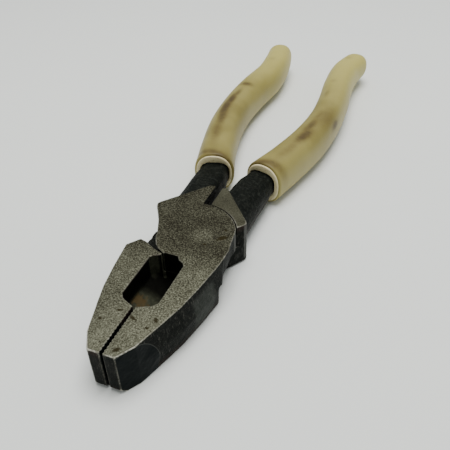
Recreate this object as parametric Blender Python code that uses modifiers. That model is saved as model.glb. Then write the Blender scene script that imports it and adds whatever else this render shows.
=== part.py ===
"""Lineman pliers: two crossed forgings on a rivet, with a two-layer grip on each handle.

The frame: the origin is on the rivet's axis, on the ground underside of the head. The jaws
point towards -Y, the handles towards +Y, and +Z goes up through the head. The upper lap half
holds the jaw at +X and the handle at -X. The lower lap half is the same forging turned over,
so it holds the jaw at -X and the handle at +X. The pliers are modelled closed.
"""

import math

import bmesh
import bpy
from mathutils import Vector

MM = 0.001

# Driving dimensions, in millimetres.
HEAD_THICKNESS = 15.9
TIP_Y = -55.6
HANDLE_END_Y = 180.8
GAP = 0.3                      # running gap between pieces that touch
OVERSHOOT = 2.0                # cutters run this far past the faces they cut through
HUB_RADIUS = 16.2              # round back of the hub
HUB_ROUND_START_Y = 6.6        # where the jaw's outer side runs into that round
HUB_NOSE_RADIUS = 13.35        # round front of the hub, behind the knives
HUB_NOSE_START_X = 3.0         # where that round starts, on the shoulder's side
HUB_STEPS = 12
HUB_NOSE_STEPS = 3
STOP_HALF_WIDTH = 1.35         # half of the slot between the two handle stops
STOP_END_Y = 27.7              # rear end of that slot
JAW_HALF_GAP = 0.5             # the gripping faces stand this far from the middle when closed
KNIFE_HALF_GAP = 0.15          # the knives touch first; this is half of their modelled gap

WINDOW_HALF_WIDTH = 6.0
WINDOW_FRONT_Y = -37.3
WINDOW_REAR_Y = -12.8
KNIFE_EDGE_Z = 3.4             # cutting edges, above the underside
KNIFE_WALL_Z = 8.2             # where the knives' bevels meet the window's side walls
RELIEF_HALF_WIDTH = 4.0        # shallow groove under the knives
RELIEF_DEPTH = 2.5
RELIEF_START = 14.5            # the groove's two ends, as distances from the rivet's axis
RELIEF_END = 36.0

TOOTH_PITCH = 1.3
TOOTH_DEPTH = 0.3
TOOTH_COUNT = 14
TOOTH_START = 0.6              # first groove's distance from the tip, in pitches

NOSE_CHAMFER = 1.4

RIVET_RADIUS = 4.6
RIVET_HEAD_RADIUS = 6.2
RIVET_HEAD_HEIGHT = 1.8

RING_SIDES = 20
ROUND_STEPS = 48

# Outer side of a jaw and hub, from the nose to where the round of the hub starts.
JAW_SIDE = (
    (4.3, TIP_Y), (5.0, -54.6), (7.7, -50.2), (10.5, -41.1), (12.9, -33.1),
    (14.8, -23.1), (16.3, -13.0), (16.6, -9.0), (16.7, -4.4), (15.9, -0.1), (15.4, 3.9),
)
# At half height the jaw's outer side stands out by this: y, distance.
BELLY = ((TIP_Y, 0), (-50.2, 0.1), (-41.1, 0.9), (-33.1, 1.4), (-23.1, 1.5), (-13.0, 1.2),
         (-9.0, -0.4), (-4.4, -0.9), (-0.1, -0.6), (3.9, 0))
# The other side of the same half, from the handle stop round the shoulder to the hub's front.
SHOULDER_SIDE = (
    (-STOP_HALF_WIDTH, STOP_END_Y), (-3.5, STOP_END_Y), (-16.5, 11.9), (-17.1, 10.8),
    (-16.7, 9.4), (-12.7, 2.9), (-9.4, -4.6), (-9.2, -5.9), (-7.1, -9.9), (-5.5, -11.5),
)
# Rear edge of the jaw where the other half's hub passes under it.
JAW_REAR = ((3.2, -13.3), (5.9, -12.4), (10.7, -9.8), (13.1, -9.2), (16.1, -13.2), (21.0, -19.7))
RECESS_REACH = 21.0            # the recess runs this far out, past the head's sides
RECESS_SHOULDER = (-14.7, 7.2) # where the recess leaves the hub's round for the shoulder
RECESS_SHOULDER_Y = 14.1       # where that edge is when it has reached the full distance

# The handle's centre line: y, and its offset from the middle plane.
HANDLE_X = ((0, 9.1), (20, 9.0), (34, 9.1), (40, 9.4), (46, 10.3), (62, 15.0), (82, 19.5),
            (102, 21.4), (122, 20.8), (142, 18.8), (160, 19.3), (HANDLE_END_Y, 23.2))
END_FLARE = 0.85               # the left handle's end stands out by this, the right one's in
FLARE_START_Y = 142.0
FLARE_FULL_Y = 160.0
# The grip's outside: y, half width, half height.
GRIP_START_Y = 46.6
GRIP_SIZE = ((46, 8.3, 8.9), (62, 7.7, 8.9), (82, 7.5, 8.8), (102, 7.2, 8.8), (122, 7.3, 8.8),
             (142, 7.3, 8.5), (160, 7.2, 7.7), (HANDLE_END_Y, 6.3, 6.3))
GRIP_ROUNDNESS = 2.3           # superellipse exponent of the grip's section
GRIP_NOSE = 9.0                # length of the grip's rounded far end
GRIP_NOSE_ANGLES = (25, 45, 62, 76, 87)
GRIP_NOSE_FLAT = 0.12          # share of the section left flat at the very end
GRIP_STATIONS = 13
OUTER_WALL = 1.0
OUTER_BEHIND = 0.6             # the outer grip starts this far behind the inner sleeve
POCKET_SHORT = 2.2             # its pocket ends this far before its far end
SLEEVE_SHORT = 2.6             # and the inner sleeve this far
# The steel: y, half width, half height, roundness of its outer side and of its inner side.
STEEL_SIZE = ((11, 6.3, 7.4, 2.1, 4.5), (20, 6.3, 7.3, 2.1, 4.5), (28, 6.35, 7.0, 2.2, 4.5),
              (34, 6.4, 6.4, 2.6, 4.5), (40, 6.4, 5.5, 2.8, 4.5), (46, 5.7, 4.8, 3.0, 3.0),
              (62, 5.0, 4.7, 3.0, 3.0), (82, 4.8, 4.6, 3.0, 3.0), (122, 4.5, 4.4, 3.0, 3.0),
              (160, 4.3, 4.0, 3.0, 3.0), (170, 3.9, 3.5, 3.0, 3.0))
STEEL_OPEN_STATIONS = (11.0, 20.0, 28.0, 34.0, 40.0)
STEEL_HIDDEN_STATIONS = 12
STEEL_END_Y = 168.0
STEEL_SHIFT = 0.4              # inside the grip the steel lies this much nearer the middle
SHIFT_START_Y = 40.0
BORE_LEAD = 3.0                # the steel's space starts this far in front of the sleeve
BORE_PAST = 0.6                # and ends this far past the steel

OBJECT_NAME = "lineman_pliers"


def clear_scene():
    for obj in list(bpy.data.objects):
        bpy.data.objects.remove(obj, do_unlink=True)


def make_collection(name):
    collection = bpy.data.collections.new(name)
    bpy.context.scene.collection.children.link(collection)
    return collection


def make_material(name, colour, roughness, metallic):
    material = bpy.data.materials.new(name)
    material.use_nodes = True
    shader = material.node_tree.nodes["Principled BSDF"]
    shader.inputs["Base Color"].default_value = (*colour, 1.0)
    shader.inputs["Roughness"].default_value = roughness
    shader.inputs["Metallic"].default_value = metallic
    return material


def arc(radius, start_deg, end_deg, steps):
    """Points on a circle round the pivot, both ends included."""
    points = []
    for i in range(steps + 1):
        angle = math.radians(start_deg + (end_deg - start_deg) * i / steps)
        points.append((radius * math.cos(angle), radius * math.sin(angle)))
    return points


def polar_deg(point):
    return math.degrees(math.atan2(point[1], point[0]))


def interpolate(table, y):
    """Smooth values at y from rows of (y, value, ...), through the rows' own points."""
    last = len(table) - 1
    k = 0
    while k < last - 1 and y > table[k + 1][0]:
        k += 1
    before, here, there, after = table[max(k - 1, 0)], table[k], table[k + 1], table[min(k + 2, last)]
    span = there[0] - here[0]
    t = min(max((y - here[0]) / span, 0.0), 1.0)
    values = []
    for column in range(1, len(here)):
        slope_in = (there[column] - before[column]) / (there[0] - before[0]) * span
        slope_out = (after[column] - here[column]) / (after[0] - here[0]) * span
        values.append(
            (2 * t**3 - 3 * t**2 + 1) * here[column] + (t**3 - 2 * t**2 + t) * slope_in
            + (3 * t**2 - 2 * t**3) * there[column] + (t**3 - t**2) * slope_out
        )
    return values


def new_object(name, mesh, collection):
    obj = bpy.data.objects.new(name, mesh)
    collection.objects.link(obj)
    return obj


def make_plate(name, outline, z_low, z_high, collection):
    """A flat outline in millimetres, filled and extruded between two heights, as a mesh."""
    curve = bpy.data.curves.new(name, "CURVE")
    curve.dimensions = "2D"
    curve.fill_mode = "BOTH"
    curve.extrude = (z_high - z_low) / 2 * MM
    spline = curve.splines.new("POLY")
    spline.points.add(len(outline) - 1)
    for point, (x, y) in zip(spline.points, outline):
        point.co = (x * MM, y * MM, 0.0, 1.0)
    spline.use_cyclic_u = True
    drawn = new_object(name + "_outline", curve, collection)
    evaluated = drawn.evaluated_get(bpy.context.evaluated_depsgraph_get())
    mesh = bpy.data.meshes.new_from_object(evaluated)
    bpy.data.objects.remove(drawn)
    work = bmesh.new()
    work.from_mesh(mesh)
    bmesh.ops.remove_doubles(work, verts=work.verts, dist=1e-6)
    bmesh.ops.translate(work, verts=work.verts, vec=(0, 0, (z_low + z_high) / 2 * MM))
    bmesh.ops.recalc_face_normals(work, faces=work.faces)
    work.normal_update()
    bmesh.ops.dissolve_limit(work, angle_limit=0.001, verts=work.verts, edges=work.edges)
    work.to_mesh(mesh)
    work.free()
    return new_object(name, mesh, collection)


def add_belly(obj):
    """Swell the jaw's forged outer side at half height, and draw it in beside the hub."""
    work = bmesh.new()
    work.from_mesh(obj.data)
    middle = HEAD_THICKNESS / 2 * MM
    bmesh.ops.bisect_plane(
        work, geom=work.verts[:] + work.edges[:] + work.faces[:], dist=1e-7,
        plane_co=(0, 0, middle), plane_no=(0, 0, 1),
    )
    for vert in work.verts:
        if abs(vert.co.z - middle) < 1e-6 and vert.co.x > JAW_SIDE[0][0] / 2 * MM:
            vert.co.x += interpolate(BELLY, vert.co.y / MM)[0] * MM
    work.to_mesh(obj.data)
    work.free()


def handle_offset(y, side):
    flare = min(max((y - FLARE_START_Y) / (FLARE_FULL_Y - FLARE_START_Y), 0.0), 1.0)
    return interpolate(HANDLE_X, y)[0] - side * END_FLARE * flare


def handle_frame(y, side):
    """Centre of the handle and the direction across it, both in the flat of the tool."""
    x = handle_offset(y, side)
    slope = handle_offset(y + 0.5, side) - handle_offset(y - 0.5, side)
    along = Vector((side * slope, 1.0, 0.0)).normalized()
    across = Vector((along.y, -along.x, 0.0))
    return Vector((side * x, y, HEAD_THICKNESS / 2)), across


def ring(y, side, half_width, half_height, inner=GRIP_ROUNDNESS, outer=GRIP_ROUNDNESS, shift=0.0):
    """One section of a handle, square to its centre line: a superellipse whose exponent may
    differ between the side towards the middle plane and the side away from it."""
    centre, across = handle_frame(y, side)
    centre -= across * shift * side
    points = []
    for i in range(RING_SIDES):
        angle = 2 * math.pi * i / RING_SIDES
        c, s = math.cos(angle), math.sin(angle)
        roundness = outer if c * side > 0 else inner
        width = math.copysign(abs(c) ** (2 / roundness), c) * half_width
        height = math.copysign(abs(s) ** (2 / roundness), s) * half_height
        points.append((centre + across * width + Vector((0, 0, height))) * MM)
    return points


def make_loft(name, rings, collection):
    """A closed solid through rings of equal point count, with flat ends."""
    work = bmesh.new()
    rows = [[work.verts.new(point) for point in points] for points in rings]
    for row, following in zip(rows, rows[1:]):
        for i in range(RING_SIDES):
            j = (i + 1) % RING_SIDES
            work.faces.new((row[i], row[j], following[j], following[i]))
    work.faces.new(rows[0][::-1])
    work.faces.new(rows[-1])
    bmesh.ops.recalc_face_normals(work, faces=work.faces)
    mesh = bpy.data.meshes.new(name)
    work.to_mesh(mesh)
    work.free()
    return new_object(name, mesh, collection)


def make_turned(name, profile, collection):
    """A profile of (radius, height) in millimetres turned about the pivot axis."""
    mesh = bpy.data.meshes.new(name)
    points = [(radius * MM, 0.0, height * MM) for radius, height in profile]
    mesh.from_pydata(points, [(i, i + 1) for i in range(len(points) - 1)], [])
    obj = new_object(name, mesh, collection)
    screw = obj.modifiers.new("turn", "SCREW")
    screw.steps = ROUND_STEPS
    screw.render_steps = ROUND_STEPS
    screw.use_merge_vertices = True
    screw.merge_threshold = 1e-6
    return obj


def add_boolean(target, cutter, operation="DIFFERENCE", solver="EXACT"):
    modifier = target.modifiers.new(cutter.name, "BOOLEAN")
    modifier.operation = operation
    modifier.solver = solver
    modifier.object = cutter
    cutter.hide_render = True
    cutter.display_type = "WIRE"


def turn_over(obj):
    """Turn an object about the tool's long axis, so the underside becomes the top."""
    obj.rotation_euler = (0.0, math.pi, 0.0)
    obj.location = (0.0, 0.0, HEAD_THICKNESS * MM)


def forging_outline():
    """Plan of the upper lap half: right jaw, hub and left shoulder."""
    hub_start = math.degrees(math.asin(HUB_ROUND_START_Y / HUB_RADIUS))
    hub_end = math.degrees(math.acos(-STOP_HALF_WIDTH / HUB_RADIUS))
    front_start = 270 - math.degrees(math.asin(HUB_NOSE_START_X / HUB_NOSE_RADIUS))
    front_end = 270 + math.degrees(math.asin(KNIFE_HALF_GAP / HUB_NOSE_RADIUS))
    outline = list(JAW_SIDE)
    outline += arc(HUB_RADIUS, hub_start, hub_end, HUB_STEPS)
    outline += list(SHOULDER_SIDE)
    outline += arc(HUB_NOSE_RADIUS, front_start, front_end, HUB_NOSE_STEPS)
    outline += [(KNIFE_HALF_GAP, WINDOW_FRONT_Y + 1.0), (JAW_HALF_GAP, WINDOW_FRONT_Y)]
    outline += [(JAW_HALF_GAP, TIP_Y)]
    return outline


def hub_recess_outline():
    """Where the other half's hub, shoulder and jaw pass under the upper lap half."""
    front_radius = HUB_NOSE_RADIUS + GAP
    back_radius = HUB_RADIUS + GAP
    outline = [(-RECESS_REACH, RECESS_SHOULDER_Y), (-RECESS_REACH, -front_radius)]
    outline += arc(front_radius, 270, 360 + polar_deg(JAW_REAR[0]), HUB_NOSE_STEPS)
    outline += list(JAW_REAR[1:])
    outline += [(RECESS_REACH, RECESS_REACH), (0.0, RECESS_REACH)]
    outline += arc(back_radius, 90, polar_deg(RECESS_SHOULDER), HUB_STEPS)
    return outline


def window_outline():
    """The window over the knives, open to the top, with a shallow V at its jaw end."""
    half = [(0.0, WINDOW_FRONT_Y), (2.5, -36.3), (4.8, -35.2), (WINDOW_HALF_WIDTH, -33.5),
            (WINDOW_HALF_WIDTH, -16.3), (5.2, -15.3), (3.5, -14.4), (2.4, WINDOW_REAR_Y)]
    return half + [(-x, y) for x, y in reversed(half[1:])]


def make_window_cutter(cutters):
    """The window's space: its outline, less the two knives that rise from its floor."""
    window = make_plate("window", window_outline(), -OVERSHOOT, HEAD_THICKNESS + OVERSHOOT, cutters)
    wall = WINDOW_HALF_WIDTH + OVERSHOOT
    wall_z = KNIFE_EDGE_Z + (KNIFE_WALL_Z - KNIFE_EDGE_Z) * wall / WINDOW_HALF_WIDTH
    low = -2 * OVERSHOOT
    section = ((-wall, low), (wall, low), (wall, wall_z), (0.0, KNIFE_EDGE_Z), (-wall, wall_z))
    knives = make_plate("knife_floor", section, -WINDOW_REAR_Y - OVERSHOOT,
                        -WINDOW_FRONT_Y + OVERSHOOT, cutters)
    knives.rotation_euler = (math.pi / 2, 0.0, 0.0)
    add_boolean(window, knives)
    return window


def make_relief_cutter(cutters):
    """The shallow groove under the knives, with its apex towards the cutting edges."""
    half = RELIEF_HALF_WIDTH
    section = ((-half, 0.0), (-half, -OVERSHOOT), (half, -OVERSHOOT), (half, 0.0), (0.0, RELIEF_DEPTH))
    relief = make_plate("knife_relief", section, RELIEF_START, RELIEF_END, cutters)
    relief.rotation_euler = (math.pi / 2, 0.0, 0.0)
    return relief


def make_teeth_cutter(cutters):
    """Grooves across both gripping faces, cut as one row of square bars stood on edge."""
    work = bmesh.new()
    half = (JAW_HALF_GAP + TOOTH_DEPTH) * MM
    for i in range(TOOTH_COUNT):
        y = (TIP_Y + TOOTH_PITCH * (i + TOOTH_START)) * MM
        corners = [(half, y), (0.0, y + half), (-half, y), (0.0, y - half)]
        low = [work.verts.new((x, along, -OVERSHOOT * MM)) for x, along in corners]
        base = work.faces.new(low)
        raised = bmesh.ops.extrude_face_region(work, geom=[base])
        top = [item for item in raised["geom"] if isinstance(item, bmesh.types.BMVert)]
        bmesh.ops.translate(work, verts=top, vec=(0, 0, (HEAD_THICKNESS + 2 * OVERSHOOT) * MM))
    bmesh.ops.recalc_face_normals(work, faces=work.faces)
    mesh = bpy.data.meshes.new("teeth")
    work.to_mesh(mesh)
    work.free()
    return new_object("teeth", mesh, cutters)


def make_nose_cutter(cutters):
    """Bevels the nose's lower front edge with one face of a bar turned to 45 degrees."""
    bpy.ops.mesh.primitive_cube_add(size=1.0)
    bar = bpy.context.object
    bar.name = "nose_bevel"
    for owner in list(bar.users_collection):
        owner.objects.unlink(bar)
    cutters.objects.link(bar)
    side = 10.0
    back = side / (2 * math.sqrt(2))
    bar.scale = (4 * side * MM, side * MM, side * MM)
    bar.rotation_euler = (math.pi / 4, 0.0, 0.0)
    bar.location = (0.0, (TIP_Y + NOSE_CHAMFER / 2 - back) * MM, (NOSE_CHAMFER / 2 - back) * MM)
    return bar


def rivet_profile(grow, past):
    """Outer side of the rivet from its top face down, with a cone at each end. A cutter's cones
    run on past both faces."""
    body = RIVET_RADIUS + grow
    head = RIVET_HEAD_RADIUS + grow + past * (RIVET_HEAD_RADIUS - RIVET_RADIUS) / RIVET_HEAD_HEIGHT
    top = HEAD_THICKNESS + past
    return [
        (0.0, top), (head, top), (body, HEAD_THICKNESS - RIVET_HEAD_HEIGHT),
        (body, RIVET_HEAD_HEIGHT), (head, -past), (0.0, -past),
    ]


def stations(first, last, count):
    return [first + (last - first) * i / (count - 1) for i in range(count)]


def steel_ring(y, side, grow=0.0):
    """The steel's section. In front of the grip its inner side is nearly square."""
    half_width, half_height, outer, inner = interpolate(STEEL_SIZE, y)
    hidden = min(max((y - SHIFT_START_Y) / (GRIP_START_Y - SHIFT_START_Y), 0.0), 1.0)
    return ring(y, side, half_width + grow, half_height + grow, inner, outer, STEEL_SHIFT * hidden)


def shank_rings(side):
    """The steel of a handle, from inside the head's shoulder to its end inside the grip."""
    hidden = stations(GRIP_START_Y, STEEL_END_Y, STEEL_HIDDEN_STATIONS)
    return [steel_ring(y, side) for y in list(STEEL_OPEN_STATIONS) + hidden]


def bore_rings(side):
    """The steel's space inside the inner sleeve, open at the front."""
    hidden = stations(GRIP_START_Y, STEEL_END_Y, STEEL_HIDDEN_STATIONS)
    ys = [GRIP_START_Y - BORE_LEAD] + hidden + [STEEL_END_Y + BORE_PAST]
    return [steel_ring(y, side, grow=GAP) for y in ys]


def cover_rings(side, inset, start, end):
    """The grip's outer shape, drawn in by inset, with a rounded far end."""
    rings = []
    for y in stations(start, end - GRIP_NOSE, GRIP_STATIONS):
        half_width, half_height = interpolate(GRIP_SIZE, y)
        rings.append(ring(y, side, half_width - inset, half_height - inset))
    for angle in GRIP_NOSE_ANGLES:
        y = end - GRIP_NOSE + GRIP_NOSE * math.sin(math.radians(angle))
        scale = GRIP_NOSE_FLAT + (1 - GRIP_NOSE_FLAT) * math.cos(math.radians(angle))
        half_width, half_height = interpolate(GRIP_SIZE, y)
        rings.append(ring(y, side, (half_width - inset) * scale, (half_height - inset) * scale))
    return rings


def make_half(name, turned, side, parts, cutters):
    """One forging, drawn as the upper lap half; the lower one's head is turned over."""
    body = make_plate(name, forging_outline(), 0.0, HEAD_THICKNESS, parts)
    add_belly(body)
    shank = make_loft(name + "_shank", shank_rings(side), cutters)
    recess = make_plate(name + "_recess", hub_recess_outline(), -OVERSHOOT,
                        HEAD_THICKNESS / 2 + GAP / 2, cutters)
    if turned:
        turn_over(body)
        turn_over(recess)
    add_boolean(body, shank, "UNION", solver="MANIFOLD")
    add_boolean(body, recess, solver="MANIFOLD")
    return body


def make_sleeves(side_name, side, parts, cutters):
    """The cream inner sleeve and the outer grip of one handle."""
    outer = make_loft(side_name + "_outer_grip",
                      cover_rings(side, 0.0, GRIP_START_Y + OUTER_BEHIND, HANDLE_END_Y), parts)
    pocket = make_loft(side_name + "_grip_pocket",
                       cover_rings(side, OUTER_WALL, GRIP_START_Y - OVERSHOOT,
                                   HANDLE_END_Y - POCKET_SHORT), cutters)
    add_boolean(outer, pocket)
    inner = make_loft(side_name + "_inner_sleeve",
                      cover_rings(side, OUTER_WALL + GAP, GRIP_START_Y,
                                  HANDLE_END_Y - SLEEVE_SHORT), parts)
    bore = make_loft(side_name + "_steel_space", bore_rings(side), cutters)
    add_boolean(inner, bore)
    return inner, outer


def main():
    clear_scene()
    parts = make_collection(OBJECT_NAME)
    cutters = make_collection("cutters")

    steel = make_material("black_oxide_steel", (0.030, 0.032, 0.033), 0.55, 0.9)
    rivet_steel = make_material("ground_rivet_steel", (0.24, 0.22, 0.18), 0.5, 1.0)
    white = make_material("cream_inner_vinyl", (0.62, 0.55, 0.40), 0.5, 0.0)
    amber = make_material("aged_outer_vinyl", (0.42, 0.36, 0.17), 0.35, 0.0)

    upper = make_half("upper_lap_half", False, -1, parts, cutters)
    lower = make_half("lower_lap_half", True, 1, parts, cutters)

    shared_cutters = (
        make_window_cutter(cutters), make_relief_cutter(cutters), make_teeth_cutter(cutters),
        make_nose_cutter(cutters), make_turned("rivet_bore", rivet_profile(GAP, OVERSHOOT), cutters),
    )
    for half in (upper, lower):
        for cutter in shared_cutters:
            add_boolean(half, cutter, solver="MANIFOLD")
        half.data.materials.append(steel)

    rivet = make_turned("pivot_rivet", rivet_profile(0.0, 0.0), parts)
    rivet.data.materials.append(rivet_steel)

    for side_name, side in (("left", -1), ("right", 1)):
        inner, outer = make_sleeves(side_name, side, parts, cutters)
        inner.data.materials.append(white)
        outer.data.materials.append(amber)


main()
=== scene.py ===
"""Lineman pliers on a pale table, in soft studio light.

Both forgings get a fine skin over the CAD shape, so that their edges are worn round and their
forged sides are uneven. The grips, sleeves and rivet are rebuilt as smooth pieces. Everything is in
the CAD model's frame: the rivet's axis is Z, and the jaws point towards -Y. Values are in
millimetres unless a comment says otherwise.
"""

import itertools
import math

import bmesh
import bpy
import numpy as np
from mathutils import Matrix, Vector


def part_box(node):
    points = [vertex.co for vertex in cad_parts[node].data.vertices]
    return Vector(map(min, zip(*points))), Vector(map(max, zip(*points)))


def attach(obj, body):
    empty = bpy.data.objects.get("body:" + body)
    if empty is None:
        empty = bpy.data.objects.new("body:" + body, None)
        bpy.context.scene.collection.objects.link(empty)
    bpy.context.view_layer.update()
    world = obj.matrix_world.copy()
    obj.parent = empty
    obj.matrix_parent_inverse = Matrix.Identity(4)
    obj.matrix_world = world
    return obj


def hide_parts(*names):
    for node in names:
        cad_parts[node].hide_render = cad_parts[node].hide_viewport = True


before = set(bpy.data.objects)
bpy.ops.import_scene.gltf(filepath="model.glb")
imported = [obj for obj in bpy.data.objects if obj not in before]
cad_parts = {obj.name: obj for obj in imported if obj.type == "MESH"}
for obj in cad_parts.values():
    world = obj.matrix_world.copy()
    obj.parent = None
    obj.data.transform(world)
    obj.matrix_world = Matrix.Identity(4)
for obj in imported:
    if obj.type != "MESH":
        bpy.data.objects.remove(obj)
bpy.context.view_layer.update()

MM = 0.001
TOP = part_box("pivot_rivet")[1].z / MM          # height of the head's ground top face
MIDDLE = TOP / 2
END_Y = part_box("left_outer_grip")[1].y / MM
COLLAR_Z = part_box("left_outer_grip")[0].z / MM  # height of the grips' lowest point

# The camera. Its turns are in degrees.
CAMERA_PLACE = (69.94, -131.93, 135.66)
CAMERA_YAW = 23.112
CAMERA_PITCH = 38.366
CAMERA_ROLL = -1.735
CAMERA_LENS = 45.27
CAMERA_SENSOR = 36.0

# The forgings' skins.
VOXEL = 0.26
SKIN_END_Y = 60.0              # the fine skin ends here, inside the grip
WEAR_GAIN = 4.0                # how fast an edge's painted wear grows with its sharpness
FORGED_LUMPS = ((2.6, 0.07), (0.75, 0.035))    # size of the lumps and their height
GROUND_DEPTH = 0.12            # a ground face's wear is seen this far below it
GRIP_FACE_HALF = 1.4           # the gripping teeth stay within this of the middle plane

# The grips. The handle's centre line: y, and its offset from the middle plane.
HANDLE_X = ((0, 9.1), (20, 9.0), (34, 9.1), (40, 9.4), (46, 10.3), (62, 15.0), (82, 19.5),
            (102, 21.4), (122, 20.8), (142, 18.8), (160, 19.3), (END_Y, 23.2))
END_FLARE = 0.85
FLARE_Y = (142.0, 160.0)
GRIP_START_Y = 46.6            # front of the inner sleeve
OUTER_BEHIND = 0.6             # the outer grip starts this far behind it
GRIP_SIZE = ((46, 8.3, 8.9), (62, 7.7, 8.9), (82, 7.5, 8.8), (102, 7.2, 8.8), (122, 7.3, 8.8),
             (142, 7.3, 8.5), (160, 7.2, 7.7), (END_Y, 6.3, 6.3))
GRIP_ROUNDNESS = 2.3
GRIP_NOSE = 9.0
OUTER_WALL = 1.0
END_WALL = 2.2                 # the outer grip's thickness at its far end
SLEEVE_GAP = 0.05              # between the sleeve and the outer grip
STEEL_GAP = 0.3                # between the sleeve and the steel
SLEEVE_POCKET = 0.6            # the sleeve's hollow runs this far past the steel's end
SLEEVE_RIM_INSET = 0.90        # in front of the outer grip, the sleeve comes this near to its outside
STEEL_SIZE = ((40, 6.4, 5.5), (46, 5.7, 4.8), (62, 5.0, 4.7), (82, 4.8, 4.6), (122, 4.5, 4.4),
              (160, 4.3, 4.0), (170, 3.9, 3.5))
STEEL_ROUNDNESS = 3.0
STEEL_SHIFT = 0.4
STEEL_END_Y = 168.0
RING_SIDES = 72
RING_STEP = 1.0
# Brown hand wear: side (-1 left, 1 right), y, angle outward from the top in degrees, half length,
# half width in degrees, strength.
GRIP_MARKS = (
    (-1, 66, 7, 13, 18, 0.78), (-1, 79, 5, 12, 17, 1.02), (-1, 88, 9, 11, 16, 1.28),
    (-1, 96, 6, 8, 14, 1.25), (-1, 103, 1, 6, 10, 0.95), (-1, 114, -1, 2.4, 24, 1.00),
    (-1, 84, 6, 30, 34, 0.40), (1, 62, 11, 10, 17, 0.62), (1, 74, 10, 8, 18, 1.15),
    (1, 83, 1, 10, 16, 0.95), (1, 93, 0, 8, 16, 0.75), (1, 94, 22, 11, 38, 0.68),
    (1, 96, 60, 5, 16, 1.05), (1, 80, 6, 26, 38, 0.40), (1, 117, -18, 5, 11, 0.55),
    (1, 132, -11, 2.5, 14, 0.45), (-1, 150, 5, 3, 16, 0.35), (1, 166, -10, 3, 20, 0.40),
)
STAIN_FULL = 1.5               # the strength that fills the painted scale
GRIP_MARK_BAND = (48.8, 3.0, 85, 0.90)         # behind the collar: y, half length, half width, strength

# The rivet. Its heads are rubbed over the rim of the bore, so they show no ring.
RIVET_RADIUS = 4.6
RIVET_HEAD_RADIUS = 6.78
RIVET_HEAD_HEIGHT = 1.8
RIVET_PROUD = 0.02

# Marks on the ground top: x, y, half length, half width, and the turn of its length in degrees.
RUST_SPOTS = ((8.5, -39.8, 1.1, 0.6, 130), (7.5, -43.2, 0.7, 0.6, 0), (2.0, -41.3, 1.6, 0.5, -20),
              (3.4, -53.0, 1.1, 0.8, 40), (12.4, 0.4, 2.2, 1.0, 50), (11.9, 4.6, 0.6, 0.5, 0),
              (-3.1, -39.9, 1.0, 0.5, 20), (-6.8, -44.6, 0.6, 0.5, 0), (8.0, -4.5, 0.7, 0.4, 0))
HUB_SHEEN = (5.4, -0.8, 4.0)   # a paler patch on the hub: x, y, radius

# Boxes that bound a look: each is its low corner and its high corner.
SHOULDER_SIDE = ((-20, 3, 1), (20, 12, TOP))             # the shoulders' outer sides, where a highlight is painted
HIP = ((4, -28, 0), (30, -17, 13.5))                     # the right jaw's widest stretch, where light is painted on the side
WINDOW = ((-7.5, -34.5, -1.0), (7.5, -8.0, TOP - 0.3))   # the cutting window's walls, painted with shade and patches of light
WINDOW_RIM = ((-8.5, -35, -5), (8.5, -10, TOP + 5))      # the same with the window's rim
SLOT = ((-4.5, 12.0, -1.0), (4.5, 27.0, TOP - 0.4))      # the slot between the two shoulders, painted dark as shade

# Ovals inside the cutting window: x, y, half length, half width, and the turn of its length.
WINDOW_RUST_SPOT = (-4.8, -27.6, 2.8, 2.2, 30.0)
WINDOW_FLOOR = (-1.0, -28.4, 8.0, 6.6)         # the knives' front bevels, where light is painted
WINDOW_CORNER = (-5.2, -15.6, 2.0, 1.6)        # the left rear corner, where light is painted
# a painted highlight on a knife's edge
KNIFE_EDGE = (-2.9, -13.5, 0.55, 0.55)

# The smooth part of each jaw's side near the nose is a quarter of an oval, seen from the side.
FACET_Y = -52.0
FACET_Z = 5.0
FACET_LENGTH = 8.8
FACET_HEIGHT = 10.9

# The table, and the points of the tool that rest on it.
TABLE_SIZE = 4.0               # in metres
NOSE_REST_Y = -52.0
COLLAR_REST_Y = 50.0

# The light. Its places and its size are in metres.
ROOM_LOW = (0.34, 0.345, 0.34, 1.0)            # the room's colour at the horizon
ROOM_HIGH = (0.82, 0.85, 0.83, 1.0)            # and overhead
ROOM_HIGH_FROM = 0.9                           # the height in the sky where that colour is reached
ROOM_STRENGTH = 0.75
LAMP_PLACE = (0.04, 0.12, 0.85)
LAMP_TARGET = (0.0, 0.03, 0.0)
LAMP_SIZE = 0.55
LAMP_WATTS = 9.0
LAMP_COLOUR = (1.0, 0.99, 0.965)


# ---------------------------------------------------------------- shaders

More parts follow.
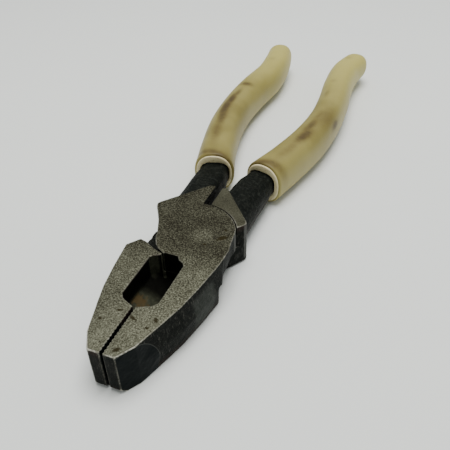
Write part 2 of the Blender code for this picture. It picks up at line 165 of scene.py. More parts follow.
class Shader:
    """Short calls for building one material's nodes. Patterns are in millimetres."""

    def __init__(self, name):
        self.material = bpy.data.materials.new(name)
        self.material.use_nodes = True
        self.tree = self.material.node_tree
        self.surface = self.tree.nodes["Principled BSDF"]
        coordinates = self.node("ShaderNodeTexCoord")
        scaled = self.node("ShaderNodeVectorMath", operation="SCALE")
        scaled.inputs["Scale"].default_value = 1 / MM
        self.tree.links.new(coordinates.outputs["Object"], scaled.inputs[0])
        self.place = scaled.outputs[0]
        self.x, self.y, self.z = self.split(self.place)
        self.facing_x, _, self.facing_z = self.split(coordinates.outputs["Normal"])

    def node(self, kind, **settings):
        made = self.tree.nodes.new(kind)
        for key, value in settings.items():
            setattr(made, key, value)
        return made

    def split(self, vector):
        made = self.node("ShaderNodeSeparateXYZ")
        self.tree.links.new(vector, made.inputs[0])
        return made.outputs

    def put(self, socket, value):
        if isinstance(value, bpy.types.NodeSocket):
            self.tree.links.new(value, socket)
        elif socket.type == "RGBA":
            socket.default_value = (*value, 1.0)
        else:
            socket.default_value = value

    def math(self, operation, a, b=0.0):
        made = self.node("ShaderNodeMath", operation=operation)
        self.put(made.inputs[0], a)
        self.put(made.inputs[1], b)
        return made.outputs[0]

    def times(self, a, b):
        return self.math("MULTIPLY", a, b)

    def plus(self, a, b):
        return self.math("ADD", a, b)

    def minus(self, a, b):
        return self.math("SUBTRACT", a, b)

    def between(self, value, low, high):
        """0 at low and 1 at high, smoothly. low may be the larger of the two."""
        made = self.node("ShaderNodeMapRange", interpolation_type="SMOOTHSTEP")
        self.put(made.inputs["Value"], value)
        self.put(made.inputs["From Min"], min(low, high))
        self.put(made.inputs["From Max"], max(low, high))
        return made.outputs[0] if low <= high else self.minus(1.0, made.outputs[0])

    def noise(self, size, detail=2.0, roughness=0.5, stretch=(1, 1, 1)):
        """Noise from 0 to 1, with features of about this size."""
        scaled = self.node("ShaderNodeVectorMath", operation="MULTIPLY")
        self.put(scaled.inputs[0], self.place)
        scaled.inputs[1].default_value = tuple(1 / (size * value) for value in stretch)
        made = self.node("ShaderNodeTexNoise")
        self.put(made.inputs["Vector"], scaled.outputs[0])
        self.put(made.inputs["Scale"], 1.0)
        self.put(made.inputs["Detail"], detail)
        self.put(made.inputs["Roughness"], roughness)
        return made.outputs["Fac"]

    def attribute(self, name):
        return self.node("ShaderNodeAttribute", attribute_name=name).outputs["Fac"]

    def mix(self, amount, a, b):
        """A colour from a to b."""
        made = self.node("ShaderNodeMix", data_type="RGBA")
        self.put(made.inputs[0], amount)
        self.put(made.inputs[6], a)
        self.put(made.inputs[7], b)
        return made.outputs[2]

    def blend(self, amount, a, b):
        """A number from a to b."""
        made = self.node("ShaderNodeMix", data_type="FLOAT")
        self.put(made.inputs[0], amount)
        self.put(made.inputs[2], a)
        self.put(made.inputs[3], b)
        return made.outputs[0]

    def patch(self, x, y, half_length, half_width, turn=0.0, ragged=0.5):
        """1 in an oval patch seen from above and 0 outside it, with a ragged edge."""
        c, s = math.cos(math.radians(turn)), math.sin(math.radians(turn))
        across, up = self.minus(self.x, x), self.minus(self.y, y)
        along = self.plus(self.times(across, c / half_length), self.times(up, s / half_length))
        aside = self.minus(self.times(up, c / half_width), self.times(across, s / half_width))
        reach = self.math("SQRT", self.plus(self.times(along, along), self.times(aside, aside)))
        edge = self.times(self.minus(self.noise(half_width * 0.8, 3), 0.5), ragged * 3)
        return self.between(self.plus(reach, edge), 1.25, 0.5)

    def box(self, low, high, soft=0.5):
        """1 in a box between two corners and 0 outside it."""
        total = 1.0
        for axis, a, b in zip((self.x, self.y, self.z), low, high):
            total = self.times(total, self.between(axis, a - soft, a + soft))
            total = self.times(total, self.between(axis, b + soft, b - soft))
        return total

    def largest(self, values):
        total = values[0]
        for value in values[1:]:
            total = self.math("MAXIMUM", total, value)
        return total

    def bump(self, layers):
        """Bumps from (height, depth) pairs, the coarsest first."""
        normal = None
        for height, depth in layers:
            made = self.node("ShaderNodeBump")
            self.put(made.inputs["Height"], height)
            self.put(made.inputs["Distance"], depth * MM)
            if normal is not None:
                self.put(made.inputs["Normal"], normal)
            normal = made.outputs[0]
        self.put(self.surface.inputs["Normal"], normal)

    def finish(self, colour, roughness, metallic, **more):
        self.put(self.surface.inputs["Base Color"], colour)
        self.put(self.surface.inputs["Roughness"], roughness)
        self.put(self.surface.inputs["Metallic"], metallic)
        for name, value in more.items():
            self.put(self.surface.inputs[name.replace("_", " ")], value)
        return self.material


STEEL_SPECULAR = 0.04          # low, because the forged and the ground steel are both dull
GROUND_DARK = (0.013, 0.011, 0.007)
GROUND_MID = (0.067, 0.066, 0.045)
GROUND_LIGHT = (0.230, 0.233, 0.174)
RUST = (0.019, 0.015, 0.0055)
OXIDE = (0.0036, 0.0047, 0.0038)
OXIDE_WORN = (0.0095, 0.0105, 0.0085)
OXIDE_GRIT = (0.034, 0.037, 0.031)
# painted reflection of the pale table on the shanks' lower sides
OXIDE_TABLE_REFLECTION = (0.046, 0.044, 0.039)
# painted highlight on the shoulders' outer sides
OXIDE_SIDE_HIGHLIGHT = (0.075, 0.076, 0.070)
# painted light on the right jaw's widest stretch
HIP_LIT_PANEL = (0.060, 0.066, 0.058)
# painted highlight along the edge of the nose facet
ARC_HIGHLIGHT = (0.075, 0.078, 0.070)
OXIDE_SCRATCHED = (0.115, 0.110, 0.096)
# painted reflection of the table along the bottom of the head's sides
OXIDE_FOOT_REFLECTION = (0.052, 0.030, 0.024)
# painted shade on the smooth facet near the nose
FACET = (0.0022, 0.0042, 0.0044)
BRIGHT_EDGE = (0.42, 0.41, 0.35)
# painted shade in the slot between the shoulders
SLOT_SHADE = (0.0006, 0.0006, 0.0005)
# painted shade and painted light inside the cutting window
WINDOW_SHADE = (0.003, 0.003, 0.002)
WINDOW_LIT = (0.075, 0.080, 0.052)
WINDOW_RUST = (0.080, 0.052, 0.020)
CREAM = (0.80, 0.72, 0.44)
CREAM_DULL = (0.62, 0.53, 0.30)
CREAM_DIRT = (0.46, 0.33, 0.17)
VINYL = (0.280, 0.243, 0.076)
VINYL_DEEP = (0.215, 0.182, 0.052)
VINYL_FAR = (0.452, 0.402, 0.116)
# painted light on the grips' sides
VINYL_SIDE_LIGHT = (0.46, 0.39, 0.15)
VINYL_DIRT = (0.15, 0.11, 0.04)
STAIN_BROWN = (0.110, 0.079, 0.022)
STAIN_DARK = (0.045, 0.025, 0.009)
FLOOR = (0.805, 0.825, 0.805)
FLOOR_DULL = (0.775, 0.800, 0.785)


def ground_steel(s, plain=0.0):
    """Bare ground steel's colour and rust: dull and speckled, darker over the hub than at the tip.

    plain, from 0 to 1, quietens the speckle.
    """
    jaws = s.between(s.y, -5.0, -22.0)
    tip = s.between(s.y, -30.0, -50.0)
    sheen = s.patch(*HUB_SHEEN, HUB_SHEEN[2], ragged=0.2)
    level = s.plus(s.blend(jaws, s.blend(plain, 0.22, 0.34), 0.61), s.times(tip, 0.07))
    level = s.plus(level, s.times(sheen, 0.17))
    left_jaw = s.times(jaws, s.between(s.x, -2.0, -7.0))
    level = s.minus(level, s.times(left_jaw, 0.08))
    level = s.plus(level, s.times(s.minus(s.noise(6.0, 3, 0.6), 0.5), 0.50))
    grain = s.plus(s.noise(0.50, 2, 0.7), s.times(s.noise(0.26, 1), 0.45))
    speckle = s.times(s.minus(grain, 0.725), s.blend(plain, s.blend(tip, 2.6, 2.0), 0.9))
    level = s.plus(level, speckle)
    colour = s.mix(s.between(level, -0.1, 0.5), GROUND_DARK, GROUND_MID)
    colour = s.mix(s.between(level, 0.35, 1.35), colour, GROUND_LIGHT)
    pits = s.between(s.noise(0.48, 1, 0.5, stretch=(1.3, 1, 1)), 0.36, 0.27)
    colour = s.mix(s.times(pits, s.blend(plain, 0.9, 0.2)), colour, GROUND_DARK)
    rust = s.largest([s.patch(*spot) for spot in RUST_SPOTS])
    return s.mix(s.times(rust, 0.93), colour, RUST), rust


def nose_facet(s, side_z):
    """The smooth part of the jaw's side near the nose, painted darker as shade, and the pale arc along
    its edge, a painted highlight.
    """
    along = s.times(s.minus(s.y, FACET_Y), 1 / FACET_LENGTH)
    aside = s.times(s.minus(side_z, FACET_Z), 1 / FACET_HEIGHT)
    reach = s.plus(s.times(along, along), s.times(aside, aside))
    sideways = s.between(s.math("ABSOLUTE", s.facing_x), 0.5, 0.75)
    inside = s.times(s.between(reach, 1.03, 0.97), sideways)
    arc = s.times(s.between(s.math("ABSOLUTE", s.minus(reach, 1.0)), 0.05, 0.0), sideways)
    return inside, arc


def window_light(s):
    """Where light is painted on the cutting window's walls; the rest of them is painted in shade."""
    floor = s.times(s.patch(*WINDOW_FLOOR, ragged=0.1), s.between(s.z, 10.0, 8.5))
    corner = s.times(s.patch(*WINDOW_CORNER, ragged=0.2), s.between(s.z, 6.5, 9.5))
    edge = s.patch(*KNIFE_EDGE, ragged=0.0)
    return s.largest([floor, s.times(corner, 1.6), s.times(edge, 3.0)])


def forging_material(name, turned):
    """Black oxide on the forged sides, bare ground steel on the flat faces, bright worn edges, and
    painted light and shade on the sides, in the slot and in the cutting window.
    """
    s = Shader(name)
    ground = s.attribute("ground")
    wear = s.attribute("wear")
    side_z = s.minus(TOP, s.z) if turned else s.z
    bare, rust = ground_steel(s, s.between(s.y, 4.0, 8.0) if turned else 0.0)
    facet, arc = nose_facet(s, side_z)

    head = s.between(s.y, 16.0, 11.0)
    mottle = s.noise(2.4, 4, 0.65)
    black = s.mix(s.between(mottle, 0.45, 0.75), OXIDE, OXIDE_WORN)
    grit = s.between(s.noise(1.1, 4, 0.65), 0.46, 0.70)
    black = s.mix(s.times(grit, s.blend(head, 0.50, 0.20)), black, OXIDE_GRIT)
    # painted reflection: behind the head, the sides that face down are painted paler, as if they mirror
    # the pale table
    low_side_reflection = s.times(s.between(s.facing_z, 0.20, -0.25), s.minus(1.0, head))
    black = s.mix(s.times(low_side_reflection, s.blend(mottle, 0.2, 1.0)), black, OXIDE_TABLE_REFLECTION)
    streaks = s.between(s.noise(0.42, 3, 0.65, stretch=(1, 1, 6)), 0.56, 0.74)
    fine = s.between(s.noise(0.30, 3, 0.7, stretch=(1, 3.5, 1)), 0.60, 0.74)
    scratched = s.times(s.math("MAXIMUM", streaks, s.times(fine, 0.8)), s.blend(head, 0.08, 0.60))
    black = s.mix(scratched, black, OXIDE_SCRATCHED)
    # painted light: a paler, uneven panel on the right jaw's widest stretch
    hip_light = s.times(s.box(*HIP, 1.2), s.noise(1.2, 3, 0.6))
    black = s.mix(s.times(hip_light, 0.9), black, HIP_LIT_PANEL)
    # painted highlight: a pale band along the outermost part of the shoulders' sides
    side_highlight = s.times(s.between(s.math("ABSOLUTE", s.x), 14.6, 15.2), s.box(*SHOULDER_SIDE, 0.7))
    side_highlight = s.times(side_highlight, s.between(s.math("ABSOLUTE", s.facing_x), 0.85, 0.93))
    black = s.mix(side_highlight, black, OXIDE_SIDE_HIGHLIGHT)
    # painted reflection: a brownish, paler band along the bottom of the head's sides, where they mirror
    # the table
    foot_reflection = s.times(s.between(side_z, 3.2, 0.4), s.times(head, s.blend(s.noise(1.5, 3), 0.3, 1.0)))
    black = s.mix(s.times(foot_reflection, 0.55), black, OXIDE_FOOT_REFLECTION)
    # painted shade on the smooth facet near the nose, and a painted highlight along its edge
    black = s.mix(facet, black, FACET)
    black = s.mix(s.times(arc, 0.45), black, ARC_HIGHLIGHT)

    # painted shade in the cutting window, with painted light on parts of its walls and real rust
    window = s.box(*WINDOW, 0.4)
    colour = s.mix(window_light(s), WINDOW_SHADE, s.mix(s.noise(1.4, 3, 0.6), WINDOW_SHADE, WINDOW_LIT))
    rusty = s.times(s.patch(*WINDOW_RUST_SPOT, ragged=0.8), s.between(s.z, 9.5, 8.0))
    black = s.mix(window, black, s.mix(s.times(rusty, 0.7), colour, WINDOW_RUST))

    # painted shade: the slot between the shoulders is painted nearly black
    slot = s.box(*SLOT, 0.4)
    black = s.mix(s.times(slot, 0.85), black, SLOT_SHADE)

    chips = s.blend(s.between(s.noise(0.8, 3, 0.6), 0.36, 0.6), 0.25, 1.0)
    round_window = s.box(*WINDOW_RIM, 0.8)
    tip = s.between(s.y, -46.0, -50.0)
    lip = s.times(tip, s.between(side_z, 3.0, 1.5))
    slit = s.between(s.math("ABSOLUTE", s.x), 2.0, 1.2)
    strength = s.blend(round_window, s.plus(s.blend(tip, 0.45, 0.95), lip), 0.16)
    strength = s.times(strength, s.blend(slit, 1.0, 0.28))
    worn = s.times(s.times(s.between(wear, 0.12, 0.45), chips), s.times(strength, head))
    colour = s.mix(ground, black, bare)
    colour = s.mix(worn, colour, BRIGHT_EDGE)

    roughness = s.blend(ground, s.blend(facet, 0.55, 0.38), 0.62)
    roughness = s.plus(roughness, s.times(s.minus(mottle, 0.5), 0.25))
    roughness = s.blend(rust, roughness, 0.9)
    metallic = s.blend(s.math("MAXIMUM", ground, worn), 0.0, s.blend(rust, 0.55, 0.0))
    sand = s.times(s.noise(0.5, 4, 0.75), s.blend(ground, s.blend(facet, 1.0, 0.2), 0.3))
    s.bump([(s.noise(1.6, 3), 0.06), (sand, 0.16)])
    return s.finish(colour, roughness, metallic, Specular_IOR_Level=STEEL_SPECULAR)


def rivet_material():
    s = Shader("ground_rivet")
    colour, rust = ground_steel(s)
    s.bump([(s.noise(0.5, 4, 0.75), 0.05)])
    return s.finish(colour, s.blend(rust, 0.62, 0.9), 0.55, Specular_IOR_Level=STEEL_SPECULAR)


def tang_material():
    s = Shader("black_tang")
    colour = s.mix(s.noise(2.0, 4), OXIDE, OXIDE_WORN)
    s.bump([(s.noise(0.8, 3), 0.08)])
    return s.finish(colour, 0.6, 0.0, Specular_IOR_Level=STEEL_SPECULAR)


def sleeve_material():
    """The cream inner layer, a little dirty."""
    s = Shader("cream_sleeve")
    colour = s.mix(s.noise(1.6, 3), CREAM_DULL, CREAM)
    colour = s.mix(s.between(s.noise(0.9, 3), 0.58, 0.75), colour, CREAM_DIRT)
    s.bump([(s.noise(0.6, 3), 0.04)])
    return s.finish(colour, s.blend(s.noise(3.0), 0.45, 0.65), 0.0, Subsurface_Weight=0.06,
                    Subsurface_Scale=0.6 * MM, Subsurface_Radius=(1.0, 0.9, 0.6))


def grip_material():
    """Aged, slightly see-through vinyl with brown marks where the hand wears it, and painted light on its
    sides.
    """
    s = Shader("aged_vinyl")
    colour = s.mix(s.between(s.noise(16.0, 2, 0.5), 0.35, 0.65), VINYL_DEEP, VINYL)
    far = s.between(s.y, 96.0, 165.0)
    colour = s.mix(s.times(far, 0.85), colour, VINYL_FAR)
    # painted light: the grip's sides are painted paler than its top, as if lit by light bounced from the
    # table
    sides = s.between(s.facing_z, 0.6, -0.3)
    colour = s.mix(s.times(sides, 0.40), colour, VINYL_SIDE_LIGHT)
    stain = s.times(s.times(s.attribute("stain"), STAIN_FULL), s.blend(s.noise(2.2, 3, 0.6), 0.70, 1.30))
    colour = s.mix(s.times(s.between(stain, 0.0, 0.95), 0.80), colour, STAIN_BROWN)
    colour = s.mix(s.times(s.between(stain, 0.55, 1.25), 0.72), colour, STAIN_DARK)
    dirt = s.times(s.between(s.noise(1.1, 4, 0.7), 0.62, 0.8), 0.35)
    colour = s.mix(dirt, colour, VINYL_DIRT)
    s.bump([(s.noise(0.7, 4, 0.6), 0.035)])
    return s.finish(colour, s.blend(s.noise(4.0, 3), 0.36, 0.52), 0.0, Subsurface_Weight=0.18,
                    Subsurface_Scale=0.9 * MM, Subsurface_Radius=(1.0, 0.8, 0.35),
                    Specular_IOR_Level=0.25)


def floor_material():
    s = Shader("pale_floor")
    colour = s.mix(s.noise(60.0, 3), FLOOR_DULL, FLOOR)
    s.bump([(s.noise(1.5, 3), 0.03)])
    return s.finish(colour, 0.8, 0.0, Specular_IOR_Level=0.2)


# ---------------------------------------------------------------- mesh tools

def new_piece(name, mesh, body, material):
    piece = bpy.data.objects.new(name, mesh)
    bpy.context.scene.collection.objects.link(piece)
    mesh.materials.clear()
    mesh.materials.append(material)
    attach(piece, body)
    return piece


def part_of_node(node, keep_front):
    """A closed copy of a CAD node's mesh, on one side of the plane where the fine skin ends."""
    work = bmesh.new()
    work.from_mesh(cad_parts[node].data)
    bmesh.ops.remove_doubles(work, verts=work.verts, dist=1e-6)
    cut = bmesh.ops.bisect_plane(
        work, geom=work.verts[:] + work.edges[:] + work.faces[:], dist=1e-7,
        plane_co=(0, SKIN_END_Y * MM, 0), plane_no=(0, 1, 0),
        clear_outer=keep_front, clear_inner=not keep_front,
    )
    rim = [item for item in cut["geom_cut"] if isinstance(item, bmesh.types.BMEdge)]
    bmesh.ops.edgenet_fill(work, edges=rim)
    bmesh.ops.recalc_face_normals(work, faces=work.faces)
    mesh = bpy.data.meshes.new(node + "_part")
    work.to_mesh(mesh)
    work.free()
    return mesh


def remeshed(mesh, voxel):
    """The same closed shape with fine, even faces."""
    holder = bpy.data.objects.new("holder", mesh)
    bpy.context.scene.collection.objects.link(holder)
    modifier = holder.modifiers.new("even", "REMESH")
    modifier.mode = "VOXEL"
    modifier.voxel_size = voxel
    modifier.use_smooth_shade = True
    result = bpy.data.meshes.new_from_object(holder.evaluated_get(bpy.context.evaluated_depsgraph_get()))
    bpy.data.objects.remove(holder)
    return result


def lattice_noise(points, cell, seed):
    """Smooth noise from -1 to 1 at each point, with one random number for each cell's corner."""
    size = 48
    corners = np.random.default_rng(seed).uniform(-1, 1, (size, size, size))
    scaled = points / cell
    base = np.floor(scaled).astype(int)
    t = scaled - base
    t = t * t * (3 - 2 * t)
    total = np.zeros(len(points))
    for corner in itertools.product((0, 1), repeat=3):
        weight = np.prod(np.where(corner, t, 1 - t), axis=1)
        i, j, k = ((base + corner) % size).T
        total += weight * corners[i, j, k]
    return total


def smooth_step(value, low, high):
    t = np.clip((value - low) / (high - low), 0, 1)
    return t * t * (3 - 2 * t)


def mesh_points(mesh):
    flat = np.empty(len(mesh.vertices) * 3)
    mesh.vertices.foreach_get("co", flat)
    return flat.reshape(-1, 3) / MM


def paint(mesh, name, values):
    layer = mesh.attributes.new(name, "FLOAT", "POINT")
    layer.data.foreach_set("value", np.clip(values, 0, 1))


class Skin:
    """A fine mesh's points as arrays."""

    def __init__(self, mesh):
        self.mesh = mesh
        self.points = mesh_points(mesh)
        edges = np.empty(len(mesh.edges) * 2, int)
        mesh.edges.foreach_get("vertices", edges)
        self.ends = edges.reshape(-1, 2).T
        self.neighbours = np.maximum(np.bincount(edges, minlength=len(self.points)), 1)

    def around(self, values):
        """The mean of each point's neighbours."""
        a, b = self.ends
        columns = []
        for column in values.reshape(len(self.points), -1).T:
            total = np.bincount(a, column[b], len(column)) + np.bincount(b, column[a], len(column))
            columns.append(total / self.neighbours)
        return np.stack(columns, axis=1)

    def normals(self):
        self.store()
        flat = np.empty(self.points.size)
        self.mesh.vertex_normals.foreach_get("vector", flat)
        return flat.reshape(-1, 3)

    def soften(self, times):
        for _ in range(times):
            self.points = (self.points + self.around(self.points)) / 2

    def store(self):
        self.mesh.vertices.foreach_set("co", (self.points * MM).ravel())
        self.mesh.update()


# ---------------------------------------------------------------- the pieces

def make_forging(node, body, turned):
    """A fine skin over one forging, with worn edges, ground flats and uneven forged sides."""
    skin = Skin(remeshed(part_of_node(node, keep_front=True), VOXEL * MM))
    skin.soften(1)
    normals = skin.normals()
    rounding = ((skin.points - skin.around(skin.points)) * normals).sum(axis=1) / VOXEL
    wear = skin.around(np.clip(rounding * WEAR_GAIN, 0, 1)).ravel()
    skin.soften(1)

    z = skin.points[:, 2]
    level = np.maximum(smooth_step(z, TOP - 2 * GROUND_DEPTH, TOP - GROUND_DEPTH),
                       smooth_step(-z, -2 * GROUND_DEPTH, -GROUND_DEPTH))
    ground = level * smooth_step(np.abs(normals[:, 2]), 0.5, 0.8)

    gripping = smooth_step(-np.abs(skin.points[:, 0]), -GRIP_FACE_HALF, -GRIP_FACE_HALF + 0.5)
    lumps = sum(lattice_noise(skin.points, size, seed) * height
                for seed, (size, height) in enumerate(FORGED_LUMPS))
    skin.points += normals * (lumps * (1 - level) * (1 - gripping))[:, None]
    skin.store()
    paint(skin.mesh, "ground", ground)
    paint(skin.mesh, "wear", wear)
    piece = new_piece(node + "_skin", skin.mesh, body, forging_material(node + "_steel", turned))
    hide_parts(node)


def make_tang(node, body, material):
    new_piece(node + "_tang", part_of_node(node, keep_front=False), body, material)


def interpolate(table, y):
    """Smooth values at y from rows of (y, value, ...), through the rows' own points."""
    last = len(table) - 1
    k = 0
    while k < last - 1 and y > table[k + 1][0]:
        k += 1
    before, here, there, after = table[max(k - 1, 0)], table[k], table[k + 1], table[min(k + 2, last)]
    span = there[0] - here[0]
    t = min(max((y - here[0]) / span, 0.0), 1.0)
    values = []
    for column in range(1, len(here)):
        slope_in = (there[column] - before[column]) / (there[0] - before[0]) * span
        slope_out = (after[column] - here[column]) / (after[0] - here[0]) * span
        values.append(
            (2 * t**3 - 3 * t**2 + 1) * here[column] + (t**3 - 2 * t**2 + t) * slope_in
            + (3 * t**2 - 2 * t**3) * there[column] + (t**3 - t**2) * slope_out
        )
    return values


def handle_offset(y, side):
    flare = min(max((y - FLARE_Y[0]) / (FLARE_Y[1] - FLARE_Y[0]), 0.0), 1.0)
    return interpolate(HANDLE_X, y)[0] - side * END_FLARE * flare


def ring(y, side, half_width, half_height, roundness, shift=0.0):
    """One section of a handle, square to its centre line: a superellipse."""
    slope = handle_offset(y + 0.5, side) - handle_offset(y - 0.5, side)
    along = Vector((side * slope, 1.0, 0.0)).normalized()
    across = Vector((along.y, -along.x, 0.0))
    centre = Vector((side * handle_offset(y, side), y, MIDDLE)) - across * shift * side
    points = []
    for i in range(RING_SIDES):
        angle = 2 * math.pi * i / RING_SIDES
        c, s = math.cos(angle), math.sin(angle)
        width = math.copysign(abs(c) ** (2 / roundness), c) * half_width
        height = math.copysign(abs(s) ** (2 / roundness), s) * half_height
        points.append((centre + across * width + Vector((0, 0, height))) * MM)
    return points


def cover_ring(y, side, inset, scale=1.0):
    half_width, half_height = interpolate(GRIP_SIZE, y)
    return ring(y, side, (half_width - inset) * scale, (half_height - inset) * scale, GRIP_ROUNDNESS)


def steel_ring(y, side, grow, scale=1.0):
    half_width, half_height = interpolate(STEEL_SIZE, y)
    return ring(y, side, (half_width + grow) * scale, (half_height + grow) * scale, STEEL_ROUNDNESS,
                STEEL_SHIFT)


def spaced(first, last, step):
    count = max(2, round(abs(last - first) / step) + 1)
    return [first + (last - first) * i / (count - 1) for i in range(count)]


def cover_wall(side, inset, start, end, step):
    """Rings along the grip's outside, drawn in by inset, out to its rounded far end."""
    nose = GRIP_NOSE - inset
    rings = [cover_ring(y, side, inset) for y in spaced(start, end - nose, step)]
    for angle in range(6, 90, 6):
        y = end - nose + nose * math.sin(math.radians(angle))
        rings.append(cover_ring(y, side, inset, 0.08 + 0.92 * math.cos(math.radians(angle))))
    return rings


def rounded_edge(start, radius, section, outward):
    """Rings round one corner of a sleeve's front. section(y, draw) is its wall, drawn in by draw."""
    angles = (90, 60, 30, 0) if outward else (0, 30, 60, 90)
    rings = []
    for angle in angles:
        back = radius * (1 - math.sin(math.radians(angle)))
        draw = radius * (1 - math.cos(math.radians(angle)))
        rings.append(section(start + back, draw))
    return rings


def make_loft(name, rings):
    """A closed surface through rings, with a fan at each end."""
    work = bmesh.new()
    rows = [[work.verts.new(point) for point in points] for points in rings]
    for row, following in zip(rows, rows[1:]):
        for i in range(len(row)):
            j = (i + 1) % len(row)
            work.faces.new((row[i], row[j], following[j], following[i]))
    for row in (rows[0], rows[-1]):
        middle = work.verts.new(sum((vert.co for vert in row), Vector()) / len(row))
        for i in range(len(row)):
            work.faces.new((row[i], row[(i + 1) % len(row)], middle))
    bmesh.ops.recalc_face_normals(work, faces=work.faces)
    for face in work.faces:
        face.smooth = True
    mesh = bpy.data.meshes.new(name)
    work.to_mesh(mesh)
    work.free()
    return mesh


def paint_stains(mesh, side):
    """Hand wear, by the place along the grip and the angle round it."""
    x, y, z = mesh_points(mesh).T
    centre = np.array([side * handle_offset(value, side) for value in y])
    angle = np.degrees(np.arctan2((x - centre) * side, z - MIDDLE))
    band_y, band_length, band_width, band_strength = GRIP_MARK_BAND
    marks = [mark[1:] for mark in GRIP_MARKS if mark[0] == side]
    marks.append((band_y, 0.0, band_length, band_width, band_strength))
    stain = np.zeros(len(x))
    for mark_y, mark_angle, half_length, half_width, strength in marks:
        reach = ((y - mark_y) / half_length) ** 2 + ((angle - mark_angle) / half_width) ** 2
        stain = np.maximum(stain, strength * np.exp(-reach))
    paint(mesh, "stain", stain / STAIN_FULL)


def make_grip(side_name, side, body, material):
    """The outer grip: a cup whose open end has a rounded lip."""
    start = GRIP_START_Y + OUTER_BEHIND
    rings = cover_wall(side, OUTER_WALL, start + 0.5, END_Y - END_WALL, RING_STEP * 4)[::-1]
    rings += rounded_edge(start, 0.15, lambda y, draw: cover_ring(y, side, OUTER_WALL - draw), False)
    rings += rounded_edge(start, 0.75, lambda y, draw: cover_ring(y, side, draw), True)
    rings += cover_wall(side, 0.0, start + 1.2, END_Y, RING_STEP)
    name = side_name + "_outer_grip"
    mesh = make_loft(name, rings)
    paint_stains(mesh, side)
    piece = new_piece(name + "_skin", mesh, body, material)
    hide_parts(name)


def make_sleeve(side_name, side, body, material):
    """The cream inner sleeve round the steel."""
    start = GRIP_START_Y
    inset = OUTER_WALL + SLEEVE_GAP
    pocket_end = STEEL_END_Y + SLEEVE_POCKET
    rings = [steel_ring(pocket_end, side, STEEL_GAP, scale) for scale in (0.3, 0.7)]
    rings += [steel_ring(y, side, STEEL_GAP) for y in spaced(pocket_end, start + 0.6, RING_STEP * 4)]
    rings += rounded_edge(start, 0.35, lambda y, draw: steel_ring(y, side, STEEL_GAP + draw), False)
    rings += rounded_edge(start, 0.40, lambda y, draw: cover_ring(y, side, SLEEVE_RIM_INSET + draw), True)
    rings.append(cover_ring(start + OUTER_BEHIND - SLEEVE_GAP, side, SLEEVE_RIM_INSET))
    rings += cover_wall(side, inset, start + OUTER_BEHIND, END_Y - END_WALL - 0.4, RING_STEP * 4)
    name = side_name + "_inner_sleeve"
    piece = new_piece(name + "_skin", make_loft(name, rings), body, material)
    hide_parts(name)


def make_rivet(body):
    """The rivet, ground flush."""
    rim = 0.15
    half = ((RIVET_HEAD_RADIUS - 1.6, -RIVET_PROUD), (RIVET_HEAD_RADIUS - rim, -RIVET_PROUD),
            (RIVET_HEAD_RADIUS, 0.02), (RIVET_HEAD_RADIUS - rim, 0.3), (RIVET_RADIUS, RIVET_HEAD_HEIGHT))
    profile = list(half) + [(radius, TOP - height) for radius, height in reversed(half)]
    steps = 96
    turn = [2 * math.pi * i / steps for i in range(steps)]
    rings = []
    for radius, height in profile:
        rings.append([Vector((radius * math.cos(a), radius * math.sin(a), height)) * MM for a in turn])
    mesh = make_loft("pivot_rivet", rings)
    piece = new_piece("pivot_rivet_skin", mesh, body, rivet_material())
    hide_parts("pivot_rivet")


# ---------------------------------------------------------------- stage

def make_floor():
    """A pale table that the nose's underside and both grips' collars rest on."""
    slope = math.atan2(COLLAR_Z, COLLAR_REST_Y - NOSE_REST_Y)
    bpy.ops.mesh.primitive_plane_add(size=TABLE_SIZE)
    floor = bpy.context.object
    floor.name = "floor"
    floor.rotation_euler = (slope, 0.0, 0.0)
    floor.location = (0.0, 0.0, -NOSE_REST_Y * math.tan(slope) * MM)
    floor.data.materials.append(floor_material())


def make_lamp():
    """One large soft lamp overhead."""
    light = bpy.data.lights.new("overhead", "AREA")
    light.shape = "DISK"
    light.size = LAMP_SIZE
    light.energy = LAMP_WATTS
    light.color = LAMP_COLOUR
    lamp = bpy.data.objects.new("overhead", light)
    bpy.context.scene.collection.objects.link(lamp)
    lamp.location = LAMP_PLACE
    lamp.rotation_euler = (Vector(LAMP_TARGET) - Vector(LAMP_PLACE)).to_track_quat("-Z", "Y").to_euler()


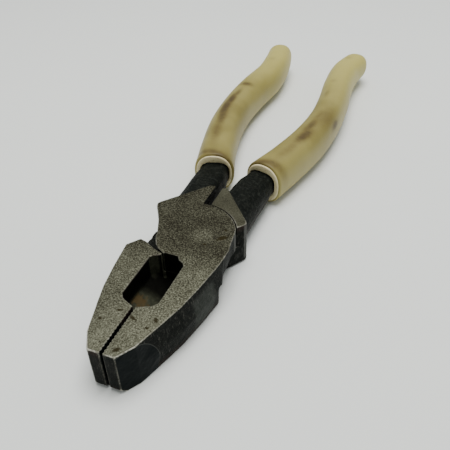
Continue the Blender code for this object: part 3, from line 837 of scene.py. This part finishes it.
def make_room():
    """A pale room's light from all round, darker towards the horizon."""
    world = bpy.data.worlds.new("room")
    bpy.context.scene.world = world
    world.use_nodes = True
    nodes, links = world.node_tree.nodes, world.node_tree.links
    place = nodes.new("ShaderNodeTexCoord")
    split = nodes.new("ShaderNodeSeparateXYZ")
    links.new(place.outputs["Generated"], split.inputs[0])
    height = nodes.new("ShaderNodeMapRange")
    height.interpolation_type = "SMOOTHSTEP"
    height.inputs["From Min"].default_value = 0.0
    height.inputs["From Max"].default_value = ROOM_HIGH_FROM
    links.new(split.outputs["Z"], height.inputs["Value"])
    tint = nodes.new("ShaderNodeMix")
    tint.data_type = "RGBA"
    tint.inputs[6].default_value = ROOM_LOW
    tint.inputs[7].default_value = ROOM_HIGH
    links.new(height.outputs[0], tint.inputs[0])
    links.new(tint.outputs[2], nodes["Background"].inputs["Color"])
    nodes["Background"].inputs["Strength"].default_value = ROOM_STRENGTH


def make_camera():
    yaw, pitch, roll = (math.radians(value) for value in (CAMERA_YAW, CAMERA_PITCH, CAMERA_ROLL))
    view = Vector((-math.sin(yaw) * math.cos(pitch), math.cos(yaw) * math.cos(pitch), -math.sin(pitch)))
    level = Vector((math.cos(yaw), math.sin(yaw), 0.0))
    upright = level.cross(view)
    right = level * math.cos(roll) + upright * math.sin(roll)
    up = upright * math.cos(roll) - level * math.sin(roll)
    data = bpy.data.cameras.new("camera")
    data.sensor_width = CAMERA_SENSOR
    data.lens = CAMERA_LENS
    data.clip_start = 0.01
    camera = bpy.data.objects.new("camera", data)
    bpy.context.scene.collection.objects.link(camera)
    turn = Matrix((right, up, -view)).transposed().to_4x4()
    camera.matrix_world = Matrix.Translation(Vector(CAMERA_PLACE) * MM) @ turn
    bpy.context.scene.camera = camera


make_camera()
make_room()
make_lamp()
make_floor()
make_forging("upper_lap_half", "upper_forging", turned=False)
make_forging("lower_lap_half", "lower_forging", turned=True)
steel = tang_material()
cream = sleeve_material()
vinyl = grip_material()
for side_name, side, half, body in (("left", -1, "upper_lap_half", "upper_forging"),
                                    ("right", 1, "lower_lap_half", "lower_forging")):
    make_tang(half, body, steel)
    make_sleeve(side_name, side, body, cream)
    make_grip(side_name, side, body, vinyl)
make_rivet("lower_forging")
